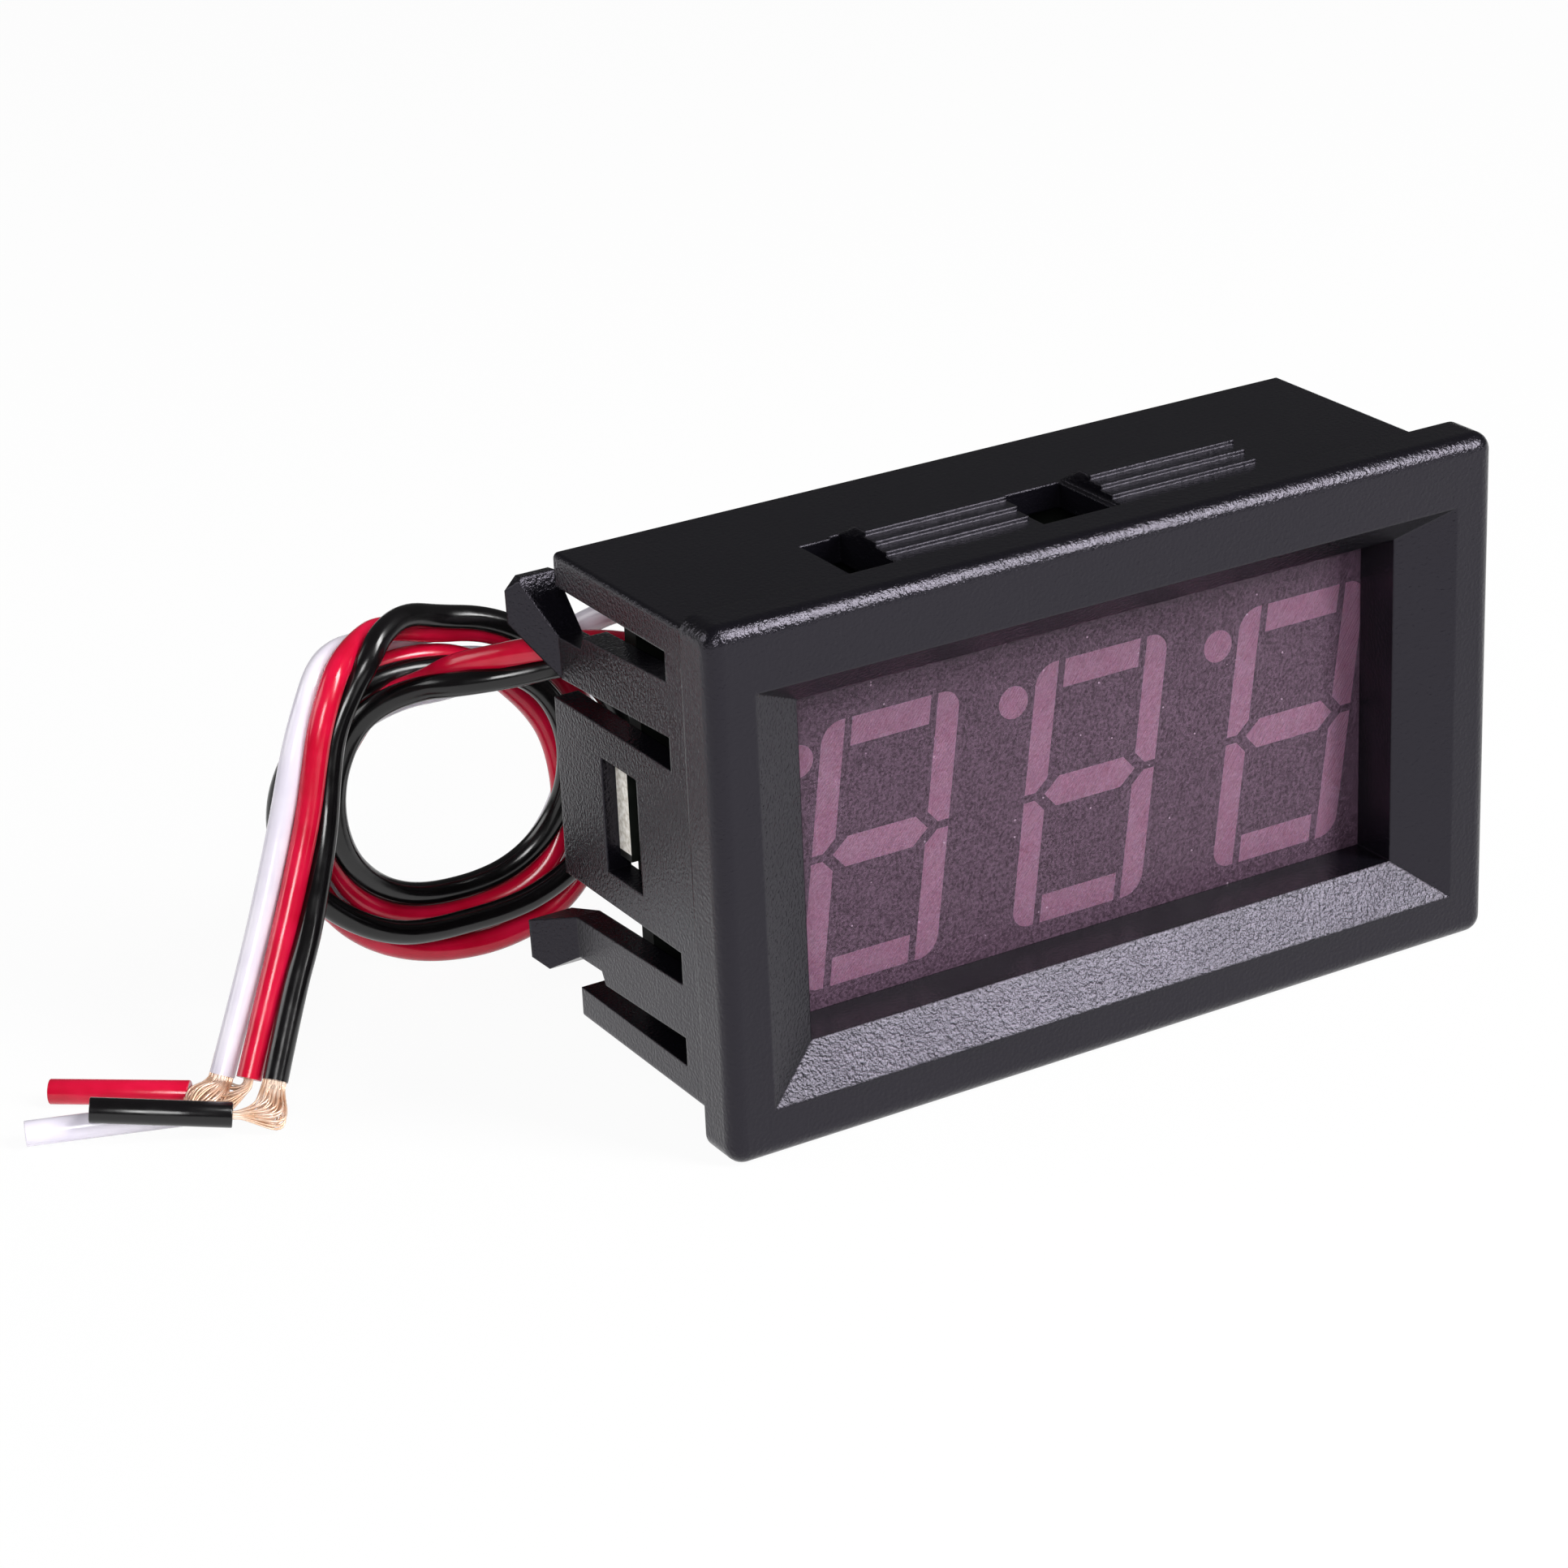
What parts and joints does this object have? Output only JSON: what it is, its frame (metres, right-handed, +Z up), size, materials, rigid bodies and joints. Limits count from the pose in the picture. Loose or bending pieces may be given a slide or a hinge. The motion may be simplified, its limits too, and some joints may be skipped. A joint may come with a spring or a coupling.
{
  "type": "digital panel meter",
  "caption": "Snap-in digital panel meter: a black bezel and case with a tinted seven-segment display, and thin wires wound into a ring at the rear.",
  "frame": {"origin": "in the panel's plane: the middle of the bezel's rear face, on the axis of the panel cut-out", "axes": "+X to the right seen from the front, +Y to the rear through the panel, +Z up"},
  "size_m": [0.0773, 0.0318, 0.029],
  "materials": {
    "black_case_plastic": "moulded black ABS with a fine spark-eroded grain",
    "tinted_film": "smoked transparent film, smooth",
    "display_black": "matt black moulded display face",
    "segment_resin": "cloudy pinkish epoxy, unlit",
    "tinned_pins": "tinned metal",
    "solder": "bright solder",
    "board_laminate": "white solder mask on glass-fibre laminate",
    "package_black": "black moulded package",
    "capacitor_ceramic": "tan ceramic",
    "resistor_black": "black glazed top",
    "trimmer_case": "off-white moulded case",
    "trimmer_metal": "brass-coloured metal",
    "bare_copper": "bare copper strands",
    "red_insulation": "red PVC insulation",
    "black_insulation": "black PVC insulation",
    "white_insulation": "white PVC insulation"
  },
  "bodies": {
    "meter": {"housing": "black_case_plastic", "filter_film": "tinted_film", "display_body": "display_black", "digit_1_segments": "segment_resin", "digit_2_segments": "segment_resin", "digit_3_segments": "segment_resin", "decimal_points": "segment_resin", "display_pins": "tinned_pins", "pin_solder_joints": "solder", "circuit_board": "board_laminate", "microcontroller": "package_black", "microcontroller_leads": "tinned_pins", "voltage_regulator": "package_black", "regulator_leads": "tinned_pins", "protection_diode": "package_black", "diode_terminals": "tinned_pins", "ceramic_capacitors": "capacitor_ceramic", "chip_resistors": "resistor_black", "chip_terminals": "tinned_pins", "trimmer_body": "trimmer_case", "wire_solder_joints": "solder", "wire_coil": "red_insulation", "white_lead": "white_insulation", "white_tail": "white_insulation", "white_stub": "white_insulation", "white_conductor": "bare_copper", "red_lead": "red_insulation", "red_tail": "red_insulation", "red_stub": "red_insulation", "red_conductor": "bare_copper", "black_lead": "black_insulation", "black_tail": "black_insulation", "black_stub": "black_insulation", "black_conductor": "bare_copper"},
    "trimmer_rotor": {"trimmer_rotor": "trimmer_metal"}
  },
  "joints": [
    {"name": "trimmer_turn", "type": "hinge", "parent": "meter", "child": "trimmer_rotor", "pos_m": [0.0084, 0.01185, -0.0034], "axis": [0, 1, 0], "range_deg": [-120, 120]}
  ]
}
